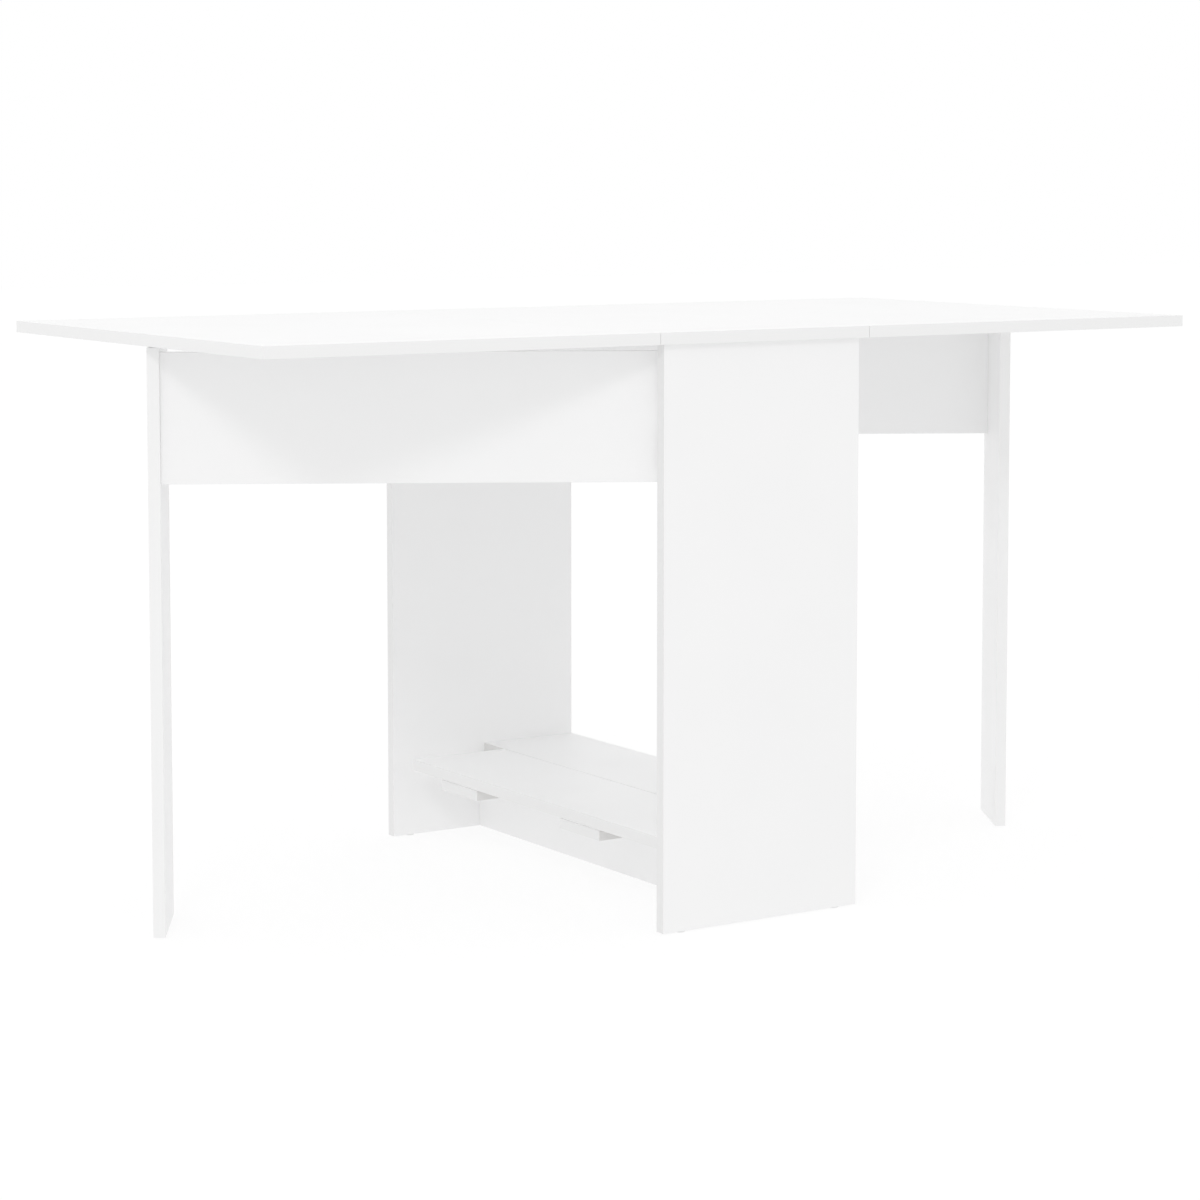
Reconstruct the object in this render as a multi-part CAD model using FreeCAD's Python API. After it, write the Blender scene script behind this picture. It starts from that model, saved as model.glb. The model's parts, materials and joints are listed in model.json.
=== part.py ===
import FreeCAD, Part
import os

from FreeCAD import Vector

# Drop-leaf dining table on a narrow base, with a swinging gate under each leaf.
# Millimetres. Origin on the floor under the middle of the top, X along the length, Z up.
# The front left half is modelled with its gate folded, then swung open and turned for the other half.

# Whole table with both leaves up
TABLE_LENGTH = 1400.0
TABLE_DEPTH = 716.0
TABLE_HEIGHT = 750.0

# Melamine boards, with the edges of their banding eased
BOARD_THICKNESS = 15.0
EDGE_RADIUS = 0.4

# Top: a fixed middle board with a leaf on each side, and how far it stands past the base
LEAF_SEAM = 0.6
SIDE_OVERHANG = 10.0
END_OVERHANG = 8.0

# End panels, measured across the base
PANEL_WIDTH = 300.0

# Boards between the end panels
STRETCHER_HEIGHT = 90.0
RAIL_HEIGHT = 80.0
BEARER_WIDTH = 95.0
BEARER_PANEL_GAP = 134.5
BEARER_INSET = 2.0
BEARER_BEVEL_DEPTH = 3.0
BEARER_BEVEL_HEIGHT = 2.0
SHELF_SEAM = 0.8

# Gates: an apron on hinges, with a board leg across its free end
GATE_OPEN_ANGLE = 60.0
GATE_INSET = 15.0
APRON_HEIGHT = 162.0
APRON_DROP = 9.0
LEG_WIDTH = 122.0
LEG_FRONT = 10.0

# Room round a folded leg, which stands between the end of a shelf board and a panel
LEG_PANEL_GAP = 32.4
LEG_SHELF_GAP = 9.6

# Soft pad on top of each leg, and glides under legs and panels
PAD_LENGTH = 80.0
PAD_WIDTH = 11.0
PAD_HEIGHT = 2.7
PAD_CLEARANCE = 0.3
GLIDE_HEIGHT = 2.0
GLIDE_RADIUS = 6.5
GLIDE_CHAMFER = 0.6
GLIDE_NAIL_RADIUS = 1.2
GLIDE_NAIL_LENGTH = 12.0
PANEL_GLIDE_MARGIN = 30.0
LEG_GLIDE_MARGIN = 22.0

# Butt hinges: pressed plates rolled round a riveted pin
PLATE_THICKNESS = 1.2
PLATE_CORNER_RADIUS = 2.0
KNUCKLE_RADIUS = 3.0
KNUCKLE_GAP = 0.3
KNUCKLE_COUNT = 5
HINGE_SEAT_GAP = 0.3
PIN_RADIUS = 1.5
PIN_CLEARANCE = 0.05
PIN_HEAD_RADIUS = 2.4
PIN_HEAD_HEIGHT = 0.8
LEAF_HINGE_WIDTH = 26.0
LEAF_HINGE_HEIGHT = 60.0
LEAF_HINGE_SPACING = 220.0
LEAF_HINGES_PER_SIDE = 3
GATE_HINGE_HEIGHT = 45.0
GATE_HINGE_MARGIN = 14.0
GATE_PLATE_MARGIN = 1.0
HINGE_SCREW_MARGIN = 9.0

# Countersunk screws with a cross recess
SCREW_CLEARANCE = 0.05
HINGE_SCREW_RADIUS = 1.5
HINGE_SCREW_HEAD_RADIUS = 3.0
LEAF_SCREW_LENGTH = 12.0
PANEL_SCREW_LENGTH = 12.0
APRON_SCREW_LENGTH = 25.0
SHELF_SCREW_RADIUS = 2.0
SHELF_SCREW_HEAD_RADIUS = 4.0
SHELF_SCREW_BITE = 10.0
BEARER_SCREW_BITE = 25.0
BEARER_SCREW_SPACING = 50.0
GATE_SCREW_RADIUS = 2.5
GATE_SCREW_HEAD_RADIUS = 5.0
GATE_SCREW_BITE = 35.0
GATE_SCREW_MARGIN = 30.0
RECESS_WIDTH_SHARE = 0.3
RECESS_SPAN_SHARE = 1.3
RECESS_DEPTH_SHARE = 0.45
CAP_RADIUS = 6.5
CAP_HEIGHT = 1.0
CAP_CHAMFER = 0.4

# Cam fittings and wooden dowels inside the base
FITTING_CLEARANCE = 0.1
CAM_RADIUS = 7.5
CAM_SKIN = 3.0
CAM_EDGE = 24.0
CAM_RECESS_DEPTH = 1.5
BOLT_RADIUS = 2.9
BOLT_HEAD_RADIUS = 3.4
BOLT_HEAD_LENGTH = 5.0
BLIND_SKIN = 5.0
DOWEL_RADIUS = 4.0
DOWEL_EDGE_DEPTH = 20.0
DOWEL_CHAMFER = 0.8
PANEL_CAM_MARGIN = 60.0
PANEL_DOWEL_MARGIN = 100.0
RAIL_DOWEL_MARGIN = 20.0
RAIL_TOP_DOWEL_SPACING = 200.0
RAIL_TOP_DOWELS = 3
SHELF_FASTENING_MARGIN = 35.0
GATE_DOWEL_SPACING = 40.0

# Overrun of a cut past the face that it opens
OVERRUN = 1.0

# Levels and places worked out from the sizes above
UNDERSIDE = TABLE_HEIGHT - BOARD_THICKNESS
STRETCHER_TOP = GLIDE_HEIGHT + STRETCHER_HEIGHT
BEARER_TOP = STRETCHER_TOP + BOARD_THICKNESS
SHELF_TOP = BEARER_TOP + BOARD_THICKNESS
PANEL_EDGE = PANEL_WIDTH / 2
PANEL_OUTER = TABLE_DEPTH / 2 - END_OVERHANG
PANEL_INNER = PANEL_OUTER - BOARD_THICKNESS
PANEL_MIDDLE = PANEL_OUTER - BOARD_THICKNESS / 2
BEARER_OUTER = PANEL_INNER - BEARER_PANEL_GAP
BEARER_MIDDLE = BEARER_OUTER - BEARER_WIDTH / 2
HALF_BOARD = BOARD_THICKNESS / 2
BLIND_DEPTH = BOARD_THICKNESS - BLIND_SKIN
HINGE_SEAT = KNUCKLE_RADIUS + HINGE_SEAT_GAP
CENTRE_EDGE = PANEL_EDGE + SIDE_OVERHANG
LEAF_EDGE = CENTRE_EDGE + LEAF_SEAM
LEAF_AXIS = Vector(-(CENTRE_EDGE + LEAF_EDGE) / 2, 0, UNDERSIDE - HINGE_SEAT)
GATE_AXIS = Vector(GATE_INSET - PANEL_EDGE, HINGE_SEAT - PANEL_INNER, 0)
LEG_OUTER = PANEL_INNER - LEG_PANEL_GAP
LEG_MIDDLE = LEG_OUTER - HALF_BOARD
APRON_START = GATE_AXIS.y + HINGE_SEAT
APRON_END = LEG_OUTER - BOARD_THICKNESS
SHELF_END = APRON_END - LEG_SHELF_GAP
APRON_TOP = UNDERSIDE - APRON_DROP
APRON_BOTTOM = APRON_TOP - APRON_HEIGHT
APRON_MIDDLE = GATE_AXIS.x + HALF_BOARD
LEG_EDGE = GATE_AXIS.x - LEG_FRONT
LEG_TOP = UNDERSIDE - PAD_CLEARANCE - PAD_HEIGHT

ORIGIN = Vector(0, 0, 0)
RIGHT = Vector(1, 0, 0)
BACK = Vector(0, 1, 0)
UP = Vector(0, 0, 1)
HALF_TURN = 180.0
ENDS = (-1, 1)

# Finished solids and the holes to drill, by node
solids = {}
holes = {}


def add(node, *shapes):
    solids.setdefault(node, []).extend(shapes)


def drill(node, *tools):
    holes.setdefault(node, []).extend(tools)


def half_turned(shape):
    copy = shape.copy()
    copy.rotate(ORIGIN, UP, HALF_TURN)
    return copy


def gate_opened(shape):
    copy = shape.copy()
    copy.rotate(GATE_AXIS, UP, GATE_OPEN_ANGLE)
    return copy


def board(low_x, high_x, low_y, high_y, low_z, high_z):
    corner = Vector(low_x, low_y, low_z)
    return Part.makeBox(high_x - low_x, high_y - low_y, high_z - low_z, corner)


def eased_board(low_x, high_x, low_y, high_y, low_z, high_z):
    sharp = board(low_x, high_x, low_y, high_y, low_z, high_z)
    return sharp.makeFillet(EDGE_RADIUS, sharp.Edges)


def rod(start, direction, radius, length):
    return Part.makeCylinder(radius, length, start, direction)


def placed(shape, origin, x_direction, y_direction):
    z_direction = x_direction.cross(y_direction)
    matrix = FreeCAD.Matrix(
        x_direction.x, y_direction.x, z_direction.x, origin.x,
        x_direction.y, y_direction.y, z_direction.y, origin.y,
        x_direction.z, y_direction.z, z_direction.z, origin.z)
    copy = shape.copy()
    copy.Placement = FreeCAD.Placement(matrix).multiply(shape.Placement)
    return copy


def chamfered_rod(start, direction, radius, length, chamfer):
    middle = rod(start + direction * chamfer, direction, radius, length - 2 * chamfer)
    near = Part.makeCone(radius - chamfer, radius, chamfer, start, direction)
    far_start = start + direction * (length - chamfer)
    far = Part.makeCone(radius, radius - chamfer, chamfer, far_start, direction)
    return middle.fuse([near, far]).removeSplitter()


# Screw with its head flush at a point, driven along a direction; clearance grows it into its hole
def screw_body(point, direction, radius, head_radius, length, clearance=0.0):
    head_height = head_radius - radius
    shank_radius = radius + clearance
    head = Part.makeCone(head_radius + clearance, shank_radius, head_height, point, direction)
    shank_start = point + direction * head_height
    shank_length = length - head_height + clearance
    return head.fuse(rod(shank_start, direction, shank_radius, shank_length))


def cross_recess(point, direction, head_radius, depth):
    across = UP if direction.z == 0 else RIGHT
    side = direction.cross(across)
    span = head_radius * RECESS_SPAN_SHARE
    width = head_radius * RECESS_WIDTH_SHARE
    bar = board(-span / 2, span / 2, -width / 2, width / 2, -depth, depth)
    return [placed(bar, point, across, side), placed(bar, point, side, -across)]


def screw(point, direction, radius, head_radius, length):
    body = screw_body(point, direction, radius, head_radius, length)
    return body.cut(cross_recess(point, direction, head_radius, head_radius * RECESS_DEPTH_SHARE))


def add_screw(node, drilled, point, direction, radius, head_radius, length):
    add(node, screw(point, direction, radius, head_radius, length))
    for name in drilled:
        drill(name, screw_body(point, direction, radius, head_radius, length, SCREW_CLEARANCE))


# Dowel across a butt joint: deep in the edge of one board, shallow in the face of the other
def add_dowel(node, edge_board, face_board, point, towards_face):
    start = point - towards_face * DOWEL_EDGE_DEPTH
    length = DOWEL_EDGE_DEPTH + BLIND_DEPTH
    add(node, chamfered_rod(start, towards_face, DOWEL_RADIUS, length, DOWEL_CHAMFER))
    hole = rod(start, towards_face, DOWEL_RADIUS + FITTING_CLEARANCE, length)
    drill(edge_board, hole)
    drill(face_board, hole)


# Cam disc let into the face of one board, drawing on a bolt from the face of another
def add_cam(disc_node, bolt_node, edge_board, face_board, point, towards_face, disc_face, disc_out):
    height = BOARD_THICKNESS - CAM_SKIN
    centre = disc_face - disc_out * height
    disc = rod(centre, disc_out, CAM_RADIUS, height)
    head_start = point - towards_face * (CAM_EDGE + BOLT_HEAD_LENGTH / 2)
    socket_length = CAM_EDGE + BOLT_HEAD_LENGTH
    socket_start = head_start - towards_face * FITTING_CLEARANCE
    socket = rod(socket_start, towards_face, BOLT_HEAD_RADIUS + FITTING_CLEARANCE, socket_length)
    recess = cross_recess(disc_face, -disc_out, CAM_RADIUS, CAM_RECESS_DEPTH)
    add(disc_node, disc.cut([socket] + recess))
    shank = rod(head_start, towards_face, BOLT_RADIUS, CAM_EDGE + BOLT_HEAD_LENGTH / 2 + BLIND_DEPTH)
    head = rod(head_start, towards_face, BOLT_HEAD_RADIUS, BOLT_HEAD_LENGTH)
    add(bolt_node, shank.fuse(head).removeSplitter())
    pocket = rod(centre, disc_out, CAM_RADIUS + FITTING_CLEARANCE, height + OVERRUN)
    drill(edge_board, pocket, socket)
    thread = rod(point, towards_face, BOLT_RADIUS + SCREW_CLEARANCE, BLIND_DEPTH)
    drill(face_board, thread)


# Glide nailed under a board, with its foot on the floor
def add_glide(node, drilled, x, y):
    foot_point = Vector(x, y, 0)
    foot = Part.makeCone(GLIDE_RADIUS - GLIDE_CHAMFER, GLIDE_RADIUS, GLIDE_CHAMFER, foot_point, UP)
    rim = rod(foot_point + UP * GLIDE_CHAMFER, UP, GLIDE_RADIUS, GLIDE_HEIGHT - GLIDE_CHAMFER)
    nail_start = foot_point + UP * GLIDE_HEIGHT
    nail = rod(nail_start, UP, GLIDE_NAIL_RADIUS, GLIDE_NAIL_LENGTH)
    add(node, foot.fuse([rim, nail]).removeSplitter())
    drill(drilled, rod(nail_start, UP, GLIDE_NAIL_RADIUS + SCREW_CLEARANCE, GLIDE_NAIL_LENGTH))


# Hinge plate in its own frame: pin along Z, plate towards X, flat on a board at Y = HINGE_SEAT
def hinge_plate(width, height, first_knuckle):
    inner = KNUCKLE_RADIUS + KNUCKLE_GAP
    back = HINGE_SEAT - PLATE_THICKNESS
    flap = board(inner, width, back, HINGE_SEAT, -height / 2, height / 2)
    outer_corners = [edge for edge in flap.Edges
                     if edge.BoundBox.XMin == edge.BoundBox.XMax == flap.BoundBox.XMax
                     and edge.BoundBox.YLength > edge.BoundBox.ZLength]
    plate = flap.makeFillet(PLATE_CORNER_RADIUS, outer_corners)
    pitch = height / KNUCKLE_COUNT
    pieces = []
    for number in range(first_knuckle, KNUCKLE_COUNT, 2):
        low = number * pitch - height / 2 + KNUCKLE_GAP / 2
        high = low + pitch - KNUCKLE_GAP
        pieces.append(board(0, inner, back, HINGE_SEAT - HINGE_SEAT_GAP, low, high))
        pieces.append(board(KNUCKLE_RADIUS, inner, back, HINGE_SEAT, low, high))
        pieces.append(rod(Vector(0, 0, low), UP, KNUCKLE_RADIUS, pitch - KNUCKLE_GAP))
    bore = rod(Vector(0, 0, -height), UP, PIN_RADIUS + PIN_CLEARANCE, 2 * height)
    return plate.fuse(pieces).cut(bore).removeSplitter()


def hinge_pin(height):
    pin = rod(Vector(0, 0, -height / 2), UP, PIN_RADIUS, height)
    end = height / 2
    upper = rod(Vector(0, 0, end), UP, PIN_HEAD_RADIUS, PIN_HEAD_HEIGHT)
    lower = rod(Vector(0, 0, -end), -UP, PIN_HEAD_RADIUS, PIN_HEAD_HEIGHT)
    return pin.fuse([upper, lower]).removeSplitter()


# One flap of a hinge with its screws, seated on a board by its frame
def add_hinge_flap(plate_node, screw_node, drilled, width, height, first_knuckle,
                   screw_length, centre, towards_flap, towards_board):
    plate = placed(hinge_plate(width, height, first_knuckle), centre, towards_flap, towards_board)
    along = towards_flap.cross(towards_board)
    clear_start = KNUCKLE_RADIUS + KNUCKLE_GAP
    screw_offset = (clear_start + width) / 2
    screw_face = HINGE_SEAT - PLATE_THICKNESS
    reach = height / 2 - HINGE_SCREW_MARGIN
    for end in ENDS:
        point = centre + towards_flap * screw_offset + towards_board * screw_face + along * (end * reach)
        sizes = (point, towards_board, HINGE_SCREW_RADIUS, HINGE_SCREW_HEAD_RADIUS, screw_length)
        add_screw(screw_node, [drilled], *sizes)
        plate = plate.cut(screw_body(*sizes, SCREW_CLEARANCE))
    add(plate_node, plate)


# Front bearer, its upper end edges bevelled so that a thin line shows under the shelf
def bevelled_bearer():
    reach = PANEL_EDGE - BEARER_INSET
    bearer = eased_board(-reach, reach, -BEARER_OUTER, BEARER_WIDTH - BEARER_OUTER,
                         STRETCHER_TOP, BEARER_TOP)
    wedges = []
    for side in ENDS:
        slope = Vector(side * BEARER_BEVEL_DEPTH, 0, -BEARER_BEVEL_HEIGHT)
        outer = Vector(side * reach, -BEARER_OUTER - OVERRUN, BEARER_TOP - BEARER_BEVEL_HEIGHT)
        inner_end = outer - slope * 2
        outer_end = outer + slope
        corner = Vector(outer_end.x, outer.y, inner_end.z)
        outline = Part.makePolygon([inner_end, outer_end, corner, inner_end])
        wedges.append(Part.Face(outline).extrude(BACK * (BEARER_WIDTH + 2 * OVERRUN)))
    return bearer.cut(wedges)


def make_boards():
    half_depth = TABLE_DEPTH / 2
    add("top_centre",
        eased_board(-CENTRE_EDGE, CENTRE_EDGE, -half_depth, half_depth, UNDERSIDE, TABLE_HEIGHT))
    add("leaf_left",
        eased_board(-TABLE_LENGTH / 2, -LEAF_EDGE, -half_depth, half_depth, UNDERSIDE, TABLE_HEIGHT))
    add("end_panel_front",
        eased_board(-PANEL_EDGE, PANEL_EDGE, -PANEL_OUTER, -PANEL_INNER, GLIDE_HEIGHT, UNDERSIDE))
    add("base_stretcher",
        eased_board(-HALF_BOARD, HALF_BOARD, -PANEL_INNER, PANEL_INNER, GLIDE_HEIGHT, STRETCHER_TOP))
    add("upper_rail",
        eased_board(-HALF_BOARD, HALF_BOARD, -PANEL_INNER, PANEL_INNER, UNDERSIDE - RAIL_HEIGHT, UNDERSIDE))
    add("shelf_bearer_front", bevelled_bearer())
    add("shelf_board_left",
        eased_board(-PANEL_EDGE, -SHELF_SEAM / 2, -PANEL_INNER, SHELF_END, BEARER_TOP, SHELF_TOP))
    apron_back = GATE_AXIS.x + BOARD_THICKNESS
    add("gate_apron_left",
        eased_board(GATE_AXIS.x, apron_back, APRON_START, APRON_END, APRON_BOTTOM, APRON_TOP))
    add("gate_leg_left",
        eased_board(LEG_EDGE, LEG_EDGE + LEG_WIDTH, APRON_END, LEG_OUTER, GLIDE_HEIGHT, LEG_TOP))


# Front panel to the middle board of the top
def join_panel_to_top():
    for side in ENDS:
        cam_point = Vector(side * (PANEL_EDGE - PANEL_CAM_MARGIN), -PANEL_MIDDLE, UNDERSIDE)
        disc_face = Vector(cam_point.x, -PANEL_INNER, UNDERSIDE - CAM_EDGE)
        add_cam("panel_cam_discs", "panel_cam_bolts", "end_panel_front", "top_centre",
                cam_point, UP, disc_face, BACK)
        dowel_point = Vector(side * (PANEL_EDGE - PANEL_DOWEL_MARGIN), -PANEL_MIDDLE, UNDERSIDE)
        add_dowel("panel_dowels", "end_panel_front", "top_centre", dowel_point, UP)


# Stretcher and upper rail to both panels, with the cams on the right-hand faces
def join_rails_to_panels():
    rails = (("base_stretcher", GLIDE_HEIGHT, STRETCHER_TOP),
             ("upper_rail", UNDERSIDE - RAIL_HEIGHT, UNDERSIDE))
    panels = (("end_panel_front", -BACK), ("end_panel_back", BACK))
    for rail, low, high in rails:
        middle = (low + high) / 2
        for panel, outward in panels:
            cam_point = Vector(0, outward.y * PANEL_INNER, middle)
            disc_face = cam_point - outward * CAM_EDGE + RIGHT * HALF_BOARD
            add_cam("rail_cam_discs", "rail_cam_bolts", rail, panel, cam_point, outward, disc_face, RIGHT)
            for height in (low + RAIL_DOWEL_MARGIN, high - RAIL_DOWEL_MARGIN):
                add_dowel("rail_dowels", rail, panel, Vector(0, cam_point.y, height), outward)
    for number in range(RAIL_TOP_DOWELS):
        y = (number - (RAIL_TOP_DOWELS - 1) / 2) * RAIL_TOP_DOWEL_SPACING
        add_dowel("rail_dowels", "upper_rail", "top_centre", Vector(0, y, UNDERSIDE), UP)


# Distances of the shelf's fastenings from the middle of the base
SHELF_ROWS = (SHELF_SEAM / 2 + SHELF_FASTENING_MARGIN, PANEL_EDGE - SHELF_FASTENING_MARGIN)


# Left shelf board into the front panel
def join_shelf_to_panel():
    for row in SHELF_ROWS:
        point = Vector(-row, -PANEL_INNER, BEARER_TOP + HALF_BOARD)
        add_dowel("shelf_dowels", "shelf_board_left", "end_panel_front", point, -BACK)


# Bearers screwed down on the stretcher, and up into the shelf boards
def join_shelf_to_bearers():
    bearers = (("shelf_bearer_front", -BEARER_MIDDLE), ("shelf_bearer_back", BEARER_MIDDLE))
    shelves = (("shelf_board_left", -RIGHT), ("shelf_board_right", RIGHT))
    for bearer, middle in bearers:
        for end in ENDS:
            head = Vector(0, middle + end * BEARER_SCREW_SPACING / 2, BEARER_TOP)
            add_screw("bearer_screws", [bearer, "base_stretcher"], head, -UP, SHELF_SCREW_RADIUS,
                      SHELF_SCREW_HEAD_RADIUS, BOARD_THICKNESS + BEARER_SCREW_BITE)
        for shelf, outward in shelves:
            for row in SHELF_ROWS:
                head = outward * row + BACK * middle + UP * STRETCHER_TOP
                add_screw("shelf_screws", [bearer, shelf], head, UP, SHELF_SCREW_RADIUS,
                          SHELF_SCREW_HEAD_RADIUS, BOARD_THICKNESS + SHELF_SCREW_BITE)


def fit_panel_glides():
    for side in ENDS:
        add_glide("panel_glides", "end_panel_front", side * (PANEL_EDGE - PANEL_GLIDE_MARGIN), -PANEL_MIDDLE)


def fit_leaf_hinges():
    for number in range(LEAF_HINGES_PER_SIDE):
        y = (number - (LEAF_HINGES_PER_SIDE - 1) / 2) * LEAF_HINGE_SPACING
        centre = LEAF_AXIS + BACK * y
        add_hinge_flap("leaf_hinge_top_plates_left", "leaf_hinge_top_screws_left", "top_centre",
                       LEAF_HINGE_WIDTH, LEAF_HINGE_HEIGHT, 0, LEAF_SCREW_LENGTH, centre, RIGHT, UP)
        add_hinge_flap("leaf_hinge_leaf_plates_left", "leaf_hinge_leaf_screws_left", "leaf_left",
                       LEAF_HINGE_WIDTH, LEAF_HINGE_HEIGHT, 1, LEAF_SCREW_LENGTH, centre, -RIGHT, UP)
        add("leaf_hinge_pins_left", placed(hinge_pin(LEAF_HINGE_HEIGHT), centre, RIGHT, UP))


def fit_gate_hinges():
    width = BOARD_THICKNESS - GATE_PLATE_MARGIN
    inset = GATE_HINGE_MARGIN + GATE_HINGE_HEIGHT / 2
    for height in (APRON_BOTTOM + inset, APRON_TOP - inset):
        centre = GATE_AXIS + UP * height
        add_hinge_flap("gate_hinge_panel_plates_left", "gate_hinge_panel_screws_left", "end_panel_front",
                       width, GATE_HINGE_HEIGHT, 0, PANEL_SCREW_LENGTH, centre, RIGHT, -BACK)
        add_hinge_flap("gate_hinge_apron_plates_left", "gate_hinge_apron_screws_left", "gate_apron_left",
                       width, GATE_HINGE_HEIGHT, 1, APRON_SCREW_LENGTH, centre, RIGHT, BACK)
        add("gate_hinge_pins_left", placed(hinge_pin(GATE_HINGE_HEIGHT), centre, RIGHT, BACK))


# Leg across the end of the apron, with its screws, caps, dowels, pad and glides
def fit_gate_leg():
    apron_centre = (APRON_TOP + APRON_BOTTOM) / 2
    for height in (APRON_BOTTOM + GATE_SCREW_MARGIN, APRON_TOP - GATE_SCREW_MARGIN):
        head = Vector(APRON_MIDDLE, LEG_OUTER, height)
        add_screw("gate_leg_screws_left", ["gate_leg_left", "gate_apron_left"], head, -BACK,
                  GATE_SCREW_RADIUS, GATE_SCREW_HEAD_RADIUS, BOARD_THICKNESS + GATE_SCREW_BITE)
        cap = rod(head, BACK, CAP_RADIUS, CAP_HEIGHT - CAP_CHAMFER)
        rim = Part.makeCone(CAP_RADIUS, CAP_RADIUS - CAP_CHAMFER, CAP_CHAMFER,
                            head + BACK * (CAP_HEIGHT - CAP_CHAMFER), BACK)
        add("gate_screw_caps_left", cap.fuse(rim).removeSplitter())
    for end in ENDS:
        height = apron_centre + end * GATE_DOWEL_SPACING / 2
        add_dowel("gate_dowels_left", "gate_apron_left", "gate_leg_left",
                  Vector(APRON_MIDDLE, APRON_END, height), BACK)
    leg_centre = LEG_EDGE + LEG_WIDTH / 2
    half_pad = PAD_WIDTH / 2
    add("leaf_rest_pad_left",
        board(leg_centre - PAD_LENGTH / 2, leg_centre + PAD_LENGTH / 2,
              LEG_MIDDLE - half_pad, LEG_MIDDLE + half_pad, LEG_TOP, LEG_TOP + PAD_HEIGHT))
    for x in (LEG_EDGE + LEG_GLIDE_MARGIN, LEG_EDGE + LEG_WIDTH - LEG_GLIDE_MARGIN):
        add_glide("leg_glides_left", "gate_leg_left", x, LEG_MIDDLE)


# Pieces that come in pairs, each the other turned half round
TURNED_PAIRS = {
    "end_panel_front": "end_panel_back",
    "shelf_bearer_front": "shelf_bearer_back",
    "shelf_board_left": "shelf_board_right",
}
TURNED_IN_PLACE = ("panel_cam_discs", "panel_cam_bolts", "panel_dowels", "shelf_dowels", "panel_glides")
GATE_NODES = ("gate_apron_left", "gate_leg_left", "gate_hinge_apron_plates_left",
              "gate_hinge_apron_screws_left", "gate_leg_screws_left", "gate_screw_caps_left",
              "gate_dowels_left", "leaf_rest_pad_left", "leg_glides_left")


# The holes made so far, turned half round for the other half of the base
def repeat_holes():
    for node in ("end_panel_front", "top_centre", "shelf_board_left"):
        turned = [half_turned(tool) for tool in holes.get(node, [])]
        drill(TURNED_PAIRS.get(node, node), *turned)


def turn_and_cut():
    for node, other in TURNED_PAIRS.items():
        solids[other] = [half_turned(shape) for shape in solids[node]]
    for node, tools in holes.items():
        solids[node] = [shape.cut(tools) for shape in solids[node]]
    for node in GATE_NODES:
        solids[node] = [gate_opened(shape) for shape in solids[node]]
    for node in TURNED_IN_PLACE:
        solids[node] += [half_turned(shape) for shape in solids[node]]
    for node in [name for name in solids if name.endswith("_left") and name not in TURNED_PAIRS]:
        other = node.replace("_left", "_right")
        solids[other] = [half_turned(shape) for shape in solids[node]]


def export():
    os.makedirs("parts", exist_ok=True)
    for node, shapes in solids.items():
        Part.makeCompound(shapes).exportStep(f"parts/{node}.step")


make_boards()
join_panel_to_top()
join_shelf_to_panel()
fit_leaf_hinges()
fit_gate_hinges()
fit_gate_leg()
fit_panel_glides()
repeat_holes()
join_shelf_to_bearers()
join_rails_to_panels()
turn_and_cut()
export()
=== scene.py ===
import json
import math

import bpy
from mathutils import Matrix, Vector

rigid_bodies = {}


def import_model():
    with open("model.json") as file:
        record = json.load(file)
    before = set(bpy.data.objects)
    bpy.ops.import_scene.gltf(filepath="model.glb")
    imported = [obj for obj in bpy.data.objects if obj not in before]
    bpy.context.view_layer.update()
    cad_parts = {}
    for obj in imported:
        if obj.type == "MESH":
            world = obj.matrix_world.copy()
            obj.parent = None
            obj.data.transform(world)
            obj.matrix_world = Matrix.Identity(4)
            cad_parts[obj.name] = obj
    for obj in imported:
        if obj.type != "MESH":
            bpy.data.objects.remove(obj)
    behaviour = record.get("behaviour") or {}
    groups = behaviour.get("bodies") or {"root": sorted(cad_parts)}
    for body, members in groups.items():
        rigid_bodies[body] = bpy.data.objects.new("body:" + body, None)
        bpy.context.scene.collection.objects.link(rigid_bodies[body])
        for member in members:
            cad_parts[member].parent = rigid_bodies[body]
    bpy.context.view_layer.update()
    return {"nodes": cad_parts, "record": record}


# Drop-leaf dining table: finishes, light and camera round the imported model.
# Metres, with the lens in millimetres, and colours in linear light.

for start_object in list(bpy.data.objects):
    bpy.data.objects.remove(start_object)

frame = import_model()

# Camera at the photograph's viewing angle
CAMERA_PLACE = (-2.3002, -3.5277, 0.9473)
CAMERA_YAW = math.radians(32.913)
CAMERA_TILT = math.radians(4.761)
CAMERA_LENS = 94.254
CAMERA_SENSOR = 36.0
CAMERA_SHIFT = -0.14
LEVEL_PITCH = math.radians(90.0)

# Directions across the thickness of the boards, with the gates open at their angle
GATE_ANGLE = math.radians(60.0)
ACROSS_TOP = (0.0, 0.0, 1.0)
ACROSS_PANEL = (0.0, 1.0, 0.0)
ACROSS_RAIL = (1.0, 0.0, 0.0)
ACROSS_APRON = (math.cos(GATE_ANGLE), math.sin(GATE_ANGLE), 0.0)
ACROSS_LEG = (-math.sin(GATE_ANGLE), math.cos(GATE_ANGLE), 0.0)

# Directions in which the narrow faces with painted shade look
LEFT = (-1.0, 0.0, 0.0)
RIGHT = (1.0, 0.0, 0.0)
FRONT = (0.0, -1.0, 0.0)
BACK = (0.0, 1.0, 0.0)

# Bands round the narrow faces of the top, the base and the gates, darker than the broad faces: partly the
# band's own tone, partly painted shade, most on the base boards under the top
TOP_BAND_AND_SHADE = (0.905, 0.905, 0.904, 1.0)
BASE_BAND_AND_SHADE = (0.85, 0.85, 0.848, 1.0)
GATE_BAND_AND_SHADE = (0.925, 0.925, 0.924, 1.0)
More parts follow.
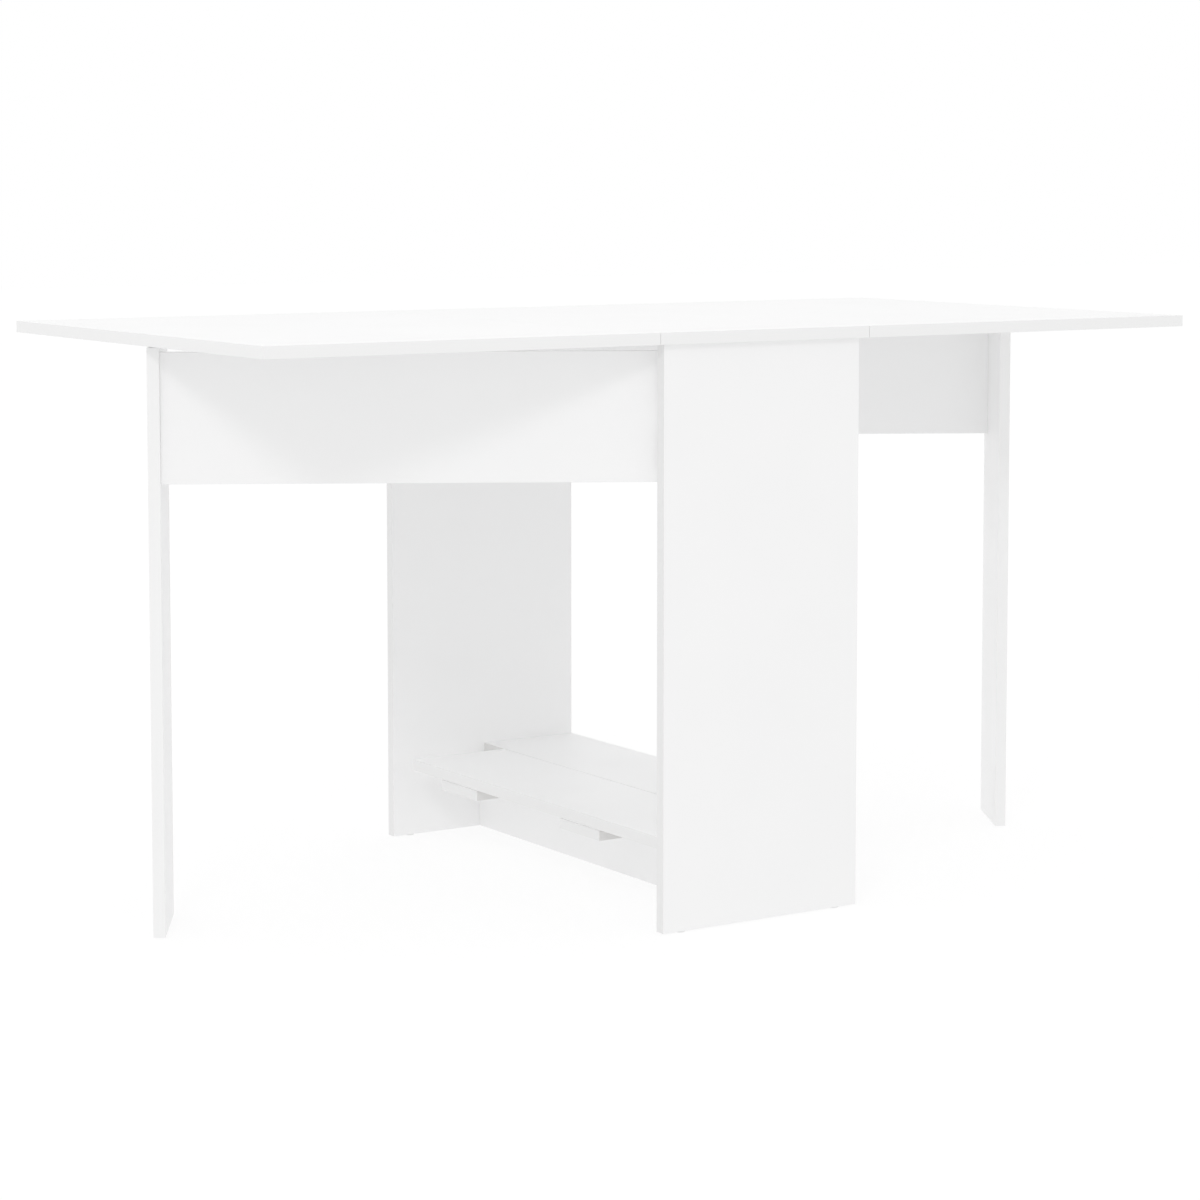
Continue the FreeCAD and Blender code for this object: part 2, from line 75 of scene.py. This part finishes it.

# Boards of each kind: the direction across them, their band with painted shade, the faces given a painted
# shade colour, and their nodes
BOARDS = (
    (ACROSS_TOP, TOP_BAND_AND_SHADE, (), ("top_centre", "leaf_left", "leaf_right")),
    (ACROSS_TOP, BASE_BAND_AND_SHADE, (RIGHT,), ("shelf_board_left",)),
    (ACROSS_TOP, BASE_BAND_AND_SHADE, (LEFT,), ("shelf_board_right",)),
    (ACROSS_TOP, BASE_BAND_AND_SHADE, (FRONT, BACK), ("shelf_bearer_front", "shelf_bearer_back")),
    (ACROSS_PANEL, BASE_BAND_AND_SHADE, (), ("end_panel_front", "end_panel_back")),
    (ACROSS_RAIL, BASE_BAND_AND_SHADE, (), ("base_stretcher", "upper_rail")),
    (ACROSS_APRON, GATE_BAND_AND_SHADE, (), ("gate_apron_left", "gate_apron_right")),
    (ACROSS_LEG, GATE_BAND_AND_SHADE, (), ("gate_leg_left", "gate_leg_right")),
)

# White melamine on the broad faces, grey where an edge is rubbed, and a darker grey painted shade on the
# hidden narrow faces of the bearers and of the shelf boards where they meet
BOARD_WHITE = (0.955, 0.955, 0.955, 1.0)
BOARD_CLOUD = (0.944, 0.944, 0.945, 1.0)
RUBBED_EDGE = (0.86, 0.858, 0.853, 1.0)
# Painted shade for the narrow faces of the bearers and shelf boards that lie in shade under the shelf
PAINTED_SHADE_EDGE = (0.74, 0.735, 0.725, 1.0)
BOARD_CLOUDS_PER_METRE = 6.0
BOARD_SMEARS_PER_METRE = 11.0
BOARD_RUBS_PER_METRE = 45.0
BOARD_PEARLS_PER_METRE = 850.0
BOARD_PEARL_DEPTH = 0.0004
BOARD_PEARL_SHARE = 0.10
BOARD_ROUGHNESS = (0.36, 0.47)
BAND_SMOOTHNESS = 0.08
BOARD_GLOSS = 0.45

# How squarely a face looks across its board where the band begins, and along it on an eased edge
BAND_FACING = (0.55, 0.75)
ARRIS_FACING = (0.90, 0.99)

# Finishes of the fittings: two colours in clouds, and a grain that changes the roughness and relief
EVENLY = (1.0, 1.0, 1.0)
ALONG_PLATE = (1.0, 0.05, 1.0)
ALONG_DOWEL = (1.0, 1.0, 0.12)
ALONG_PAD = (0.5, 1.0, 1.0)
FINISHES = {
    "hinge_steel": {
        "name": "zinc_plated_plate", "light": (0.71, 0.71, 0.70, 1.0), "dark": (0.60, 0.61, 0.62, 1.0),
        "clouds_per_metre": 160.0, "grains_per_metre": 1500.0, "stretch": ALONG_PLATE,
        "roughness": (0.26, 0.46), "relief_share": 0.12, "relief_depth": 0.0001, "metallic": 1.0},
    "screw_steel": {
        "name": "zinc_plated_screw", "light": (0.69, 0.69, 0.68, 1.0), "dark": (0.58, 0.58, 0.57, 1.0),
        "clouds_per_metre": 160.0, "grains_per_metre": 1500.0, "stretch": EVENLY,
        "roughness": (0.22, 0.42), "relief_share": 0.12, "relief_depth": 0.0001, "metallic": 1.0},
    "cam_zinc": {
        "name": "cast_zinc", "light": (0.63, 0.64, 0.65, 1.0), "dark": (0.52, 0.53, 0.54, 1.0),
        "clouds_per_metre": 160.0, "grains_per_metre": 1500.0, "stretch": EVENLY,
        "roughness": (0.38, 0.58), "relief_share": 0.20, "relief_depth": 0.0001, "metallic": 1.0},
    "white_plastic": {
        "name": "moulded_white_plastic", "light": (0.92, 0.92, 0.92, 1.0), "dark": (0.89, 0.89, 0.88, 1.0),
        "clouds_per_metre": 90.0, "grains_per_metre": 2600.0, "stretch": EVENLY,
        "roughness": (0.45, 0.60), "relief_share": 0.15, "relief_depth": 0.0001, "metallic": 0.0},
    "dowel_wood": {
        "name": "beech", "light": (0.78, 0.62, 0.43, 1.0), "dark": (0.62, 0.45, 0.28, 1.0),
        "clouds_per_metre": 300.0, "grains_per_metre": 900.0, "stretch": ALONG_DOWEL,
        "roughness": (0.52, 0.70), "relief_share": 0.25, "relief_depth": 0.0002, "metallic": 0.0},
    "felt": {
        "name": "pressed_felt", "light": (0.87, 0.87, 0.86, 1.0), "dark": (0.74, 0.74, 0.73, 1.0),
        "clouds_per_metre": 700.0, "grains_per_metre": 1300.0, "stretch": ALONG_PAD,
        "roughness": (0.90, 1.00), "relief_share": 0.60, "relief_depth": 0.0005, "metallic": 0.0},
}

# Layers of each noise, the part of its range that the finishes use, and the whole range of a mask
CLOUD_LAYERS = 3.0
GRAIN_LAYERS = 5.0
NOISE_RANGE = (0.33, 0.70)
WHOLE_RANGE = (0.0, 1.0)

# Lit white floor, white surroundings and one soft key light from the front left
FLOOR_SIZE = 40.0
FLOOR_WHITE = (0.97, 0.97, 0.97, 1.0)
FLOOR_LEVEL = 0.90
FLOOR_SHADOW_SHARE = 0.25
FLOOR_SHOWN_LEVEL = 1.03
SKY_LEVEL = 0.80
SKY_OVERHEAD_LEVEL = 1.05
SKY_SHOWN_LEVEL = 1.0
KEY_BEARING = math.radians(-45.0)
KEY_ELEVATION = math.radians(31.0)
KEY_DISTANCE = 5.0
KEY_SIZE = 0.7
KEY_POWER = 18.0
KEY_AIM = Vector((0.0, 0.0, 0.4))
WHITE = (1.0, 1.0, 1.0, 1.0)

# White boards pass the light on to each other many times
DIFFUSE_BOUNCES = 12


def add_node(tree, kind, **settings):
    node = tree.nodes.new(kind)
    for name, value in settings.items():
        setattr(node, name, value)
    return node


# A socket takes either a value or a link from another node
def feed(tree, socket, value):
    if isinstance(value, bpy.types.NodeSocket):
        tree.links.new(value, socket)
    else:
        socket.default_value = value


# Sockets in their order take values in the same order
def feed_all(tree, sockets, values):
    for socket, value in zip(sockets, values):
        feed(tree, socket, value)


def object_noise(tree, per_metre, layers, stretch=EVENLY):
    coordinates = add_node(tree, "ShaderNodeTexCoord")
    mapping = add_node(tree, "ShaderNodeMapping")
    noise = add_node(tree, "ShaderNodeTexNoise")
    feed(tree, mapping.inputs["Vector"], coordinates.outputs["Object"])
    feed(tree, mapping.inputs["Scale"], stretch)
    feed(tree, noise.inputs["Vector"], mapping.outputs["Vector"])
    feed(tree, noise.inputs["Scale"], per_metre)
    feed(tree, noise.inputs["Detail"], layers)
    return noise.outputs["Fac"]


def remap(tree, value, span, start=0.0, end=1.0):
    node = add_node(tree, "ShaderNodeMapRange")
    feed_all(tree, node.inputs, (value, *span, start, end))
    return node.outputs["Result"]


# One below a span of the value, zero above it
def falling(tree, value, span):
    return remap(tree, value, span, 1.0, 0.0)


def maths(tree, operation, *values):
    node = add_node(tree, "ShaderNodeMath", operation=operation)
    feed_all(tree, node.inputs, values)
    return node.outputs["Value"]


def mix(tree, kind, factor, first, second):
    node = add_node(tree, "ShaderNodeMix", data_type=kind)
    feed(tree, node.inputs["Factor"], factor)
    sockets = [socket for socket in node.inputs if socket.enabled and socket.name in ("A", "B")]
    feed_all(tree, sockets, (first, second))
    return next(socket for socket in node.outputs if socket.enabled)


def add_bump(tree, shader, height, share, depth):
    bump = add_node(tree, "ShaderNodeBump")
    feed(tree, bump.inputs["Strength"], share)
    feed(tree, bump.inputs["Distance"], depth)
    feed(tree, bump.inputs["Height"], height)
    feed(tree, shader.inputs["Normal"], bump.outputs["Normal"])


# How squarely a face looks towards a direction: one where it looks straight there
def facing_towards(tree, direction):
    coordinates = add_node(tree, "ShaderNodeTexCoord")
    product = add_node(tree, "ShaderNodeVectorMath", operation="DOT_PRODUCT")
    feed_all(tree, product.inputs, (coordinates.outputs["Normal"], direction))
    return product.outputs["Value"]


# How squarely a face looks along a direction, whichever way round
def facing(tree, direction):
    return maths(tree, "ABSOLUTE", facing_towards(tree, direction))


# One on the narrow faces of a board, zero on its two broad faces
def band_mask(tree, across):
    return falling(tree, facing(tree, across), BAND_FACING)


# One on the eased edges, which look along none of the board's three directions
def arris_mask(tree, across):
    flat = across == ACROSS_TOP
    first_side = ACROSS_RAIL if flat else (-across[1], across[0], across[2])
    second_side = ACROSS_PANEL if flat else ACROSS_TOP
    sideways = maths(tree, "MAXIMUM", facing(tree, first_side), facing(tree, second_side))
    squarest = maths(tree, "MAXIMUM", facing(tree, across), sideways)
    return falling(tree, squarest, ARRIS_FACING)


def new_material(name):
    material = bpy.data.materials.new(name)
    material.use_nodes = True
    return material, material.node_tree, material.node_tree.nodes["Principled BSDF"]


def board_material(name, across, band_and_shade_colour, shaded_faces):
    material, tree, shader = new_material(name)
    clouds = remap(tree, object_noise(tree, BOARD_CLOUDS_PER_METRE, CLOUD_LAYERS), NOISE_RANGE)
    rubs = remap(tree, object_noise(tree, BOARD_RUBS_PER_METRE, GRAIN_LAYERS), NOISE_RANGE)
    smears = object_noise(tree, BOARD_SMEARS_PER_METRE, CLOUD_LAYERS)
    pearls = object_noise(tree, BOARD_PEARLS_PER_METRE, CLOUD_LAYERS)
    band = band_mask(tree, across)
    face = mix(tree, "RGBA", clouds, BOARD_WHITE, BOARD_CLOUD)
    # The narrow faces take the band colour, which holds painted shade
    band_and_shade = mix(tree, "RGBA", band, face, band_and_shade_colour)
    # Faces in the shade under the shelf get a painted shade colour in place of the band
    for direction in shaded_faces:
        painted_shade = remap(tree, facing_towards(tree, direction), BAND_FACING)
        band_and_shade = mix(tree, "RGBA", painted_shade, band_and_shade, PAINTED_SHADE_EDGE)
    rubbed = maths(tree, "MULTIPLY", arris_mask(tree, across), rubs)
    feed(tree, shader.inputs["Base Color"], mix(tree, "RGBA", rubbed, band_and_shade, RUBBED_EDGE))
    smeared = remap(tree, smears, NOISE_RANGE, *BOARD_ROUGHNESS)
    smoother = maths(tree, "MULTIPLY", band, BAND_SMOOTHNESS)
    feed(tree, shader.inputs["Roughness"], maths(tree, "SUBTRACT", smeared, smoother))
    feed(tree, shader.inputs["Specular IOR Level"], BOARD_GLOSS)
    pearled = maths(tree, "MULTIPLY", pearls, falling(tree, band, WHOLE_RANGE))
    add_bump(tree, shader, pearled, BOARD_PEARL_SHARE, BOARD_PEARL_DEPTH)
    return material


def fitting_material(finish):
    material, tree, shader = new_material(finish["name"])
    clouds = remap(tree, object_noise(tree, finish["clouds_per_metre"], CLOUD_LAYERS), NOISE_RANGE)
    grain = object_noise(tree, finish["grains_per_metre"], GRAIN_LAYERS, finish["stretch"])
    feed(tree, shader.inputs["Base Color"], mix(tree, "RGBA", clouds, finish["light"], finish["dark"]))
    feed(tree, shader.inputs["Roughness"], remap(tree, grain, NOISE_RANGE, *finish["roughness"]))
    feed(tree, shader.inputs["Metallic"], finish["metallic"])
    add_bump(tree, shader, grain, finish["relief_share"], finish["relief_depth"])
    return material


def give_material(piece, material):
    piece.data.materials.clear()
    piece.data.materials.append(material)


def dress_boards():
    for number, (across, band_and_shade_colour, shaded_faces, names) in enumerate(BOARDS):
        material = board_material(f"white_melamine_{number}", across, band_and_shade_colour, shaded_faces)
        for name in names:
            give_material(frame["nodes"][name], material)


def dress_fittings():
    materials = {slot: fitting_material(finish) for slot, finish in FINISHES.items()}
    for part in frame["record"]["subparts"]:
        if part["material_slot"] in materials:
            give_material(frame["nodes"][part["node"]], materials[part["material_slot"]])


# One for rays from the camera, and for those that gloss sends on
def shown_rays(tree):
    rays = add_node(tree, "ShaderNodeLightPath")
    direct = maths(tree, "MAXIMUM", rays.outputs["Is Camera Ray"], rays.outputs["Is Glossy Ray"])
    return maths(tree, "MAXIMUM", direct, rays.outputs["Is Transmission Ray"])


# Floor lit from within, which shows as white and keeps a share of the object's shadow
def make_floor():
    bpy.ops.mesh.primitive_plane_add(size=FLOOR_SIZE)
    floor = bpy.context.object
    floor.name = "floor"
    material, tree, shader = new_material("white_floor")
    tree.nodes.remove(shader)
    shown = shown_rays(tree)
    matt = add_node(tree, "ShaderNodeBsdfDiffuse")
    feed(tree, matt.inputs["Color"], FLOOR_WHITE)
    glow = add_node(tree, "ShaderNodeEmission")
    feed(tree, glow.inputs["Color"], WHITE)
    feed(tree, glow.inputs["Strength"], mix(tree, "FLOAT", shown, FLOOR_LEVEL, FLOOR_SHOWN_LEVEL))
    shaded = maths(tree, "MULTIPLY", shown, FLOOR_SHADOW_SHARE)
    mixed = add_node(tree, "ShaderNodeMixShader")
    feed_all(tree, mixed.inputs, (shaded, glow.outputs["Emission"], matt.outputs["BSDF"]))
    feed(tree, tree.nodes["Material Output"].inputs["Surface"], mixed.outputs["Shader"])
    give_material(floor, material)


# Even white surroundings, somewhat brighter overhead
def make_world():
    world = bpy.data.worlds.new("white_studio")
    bpy.context.scene.world = world
    world.use_nodes = True
    tree = world.node_tree
    background = tree.nodes["Background"]
    direction = add_node(tree, "ShaderNodeTexCoord")
    split = add_node(tree, "ShaderNodeSeparateXYZ")
    feed(tree, split.inputs["Vector"], direction.outputs["Generated"])
    sky = remap(tree, split.outputs["Z"], WHOLE_RANGE, SKY_LEVEL, SKY_OVERHEAD_LEVEL)
    feed(tree, background.inputs["Color"], WHITE)
    feed(tree, background.inputs["Strength"], mix(tree, "FLOAT", shown_rays(tree), sky, SKY_SHOWN_LEVEL))


def make_key_light():
    lamp = bpy.data.lights.new("key", "AREA")
    lamp.energy = KEY_POWER
    lamp.size = KEY_SIZE
    key = bpy.data.objects.new("key", lamp)
    bpy.context.scene.collection.objects.link(key)
    towards_key = Vector((math.sin(KEY_BEARING), -math.cos(KEY_BEARING), math.tan(KEY_ELEVATION)))
    key.location = KEY_AIM + towards_key.normalized() * KEY_DISTANCE
    key.rotation_euler = (KEY_AIM - key.location).to_track_quat("-Z", "Y").to_euler()
    key.visible_camera = False


def make_camera():
    lens = bpy.data.cameras.new("camera")
    lens.lens = CAMERA_LENS
    lens.sensor_width = CAMERA_SENSOR
    lens.shift_y = CAMERA_SHIFT
    camera = bpy.data.objects.new("camera", lens)
    bpy.context.scene.collection.objects.link(camera)
    camera.location = CAMERA_PLACE
    camera.rotation_euler = (LEVEL_PITCH - CAMERA_TILT, 0.0, -CAMERA_YAW)
    bpy.context.scene.camera = camera


dress_boards()
dress_fittings()
make_floor()
make_world()
make_key_light()
make_camera()
bpy.context.scene.cycles.diffuse_bounces = DIFFUSE_BOUNCES
bpy.context.scene.view_settings.view_transform = "Standard"
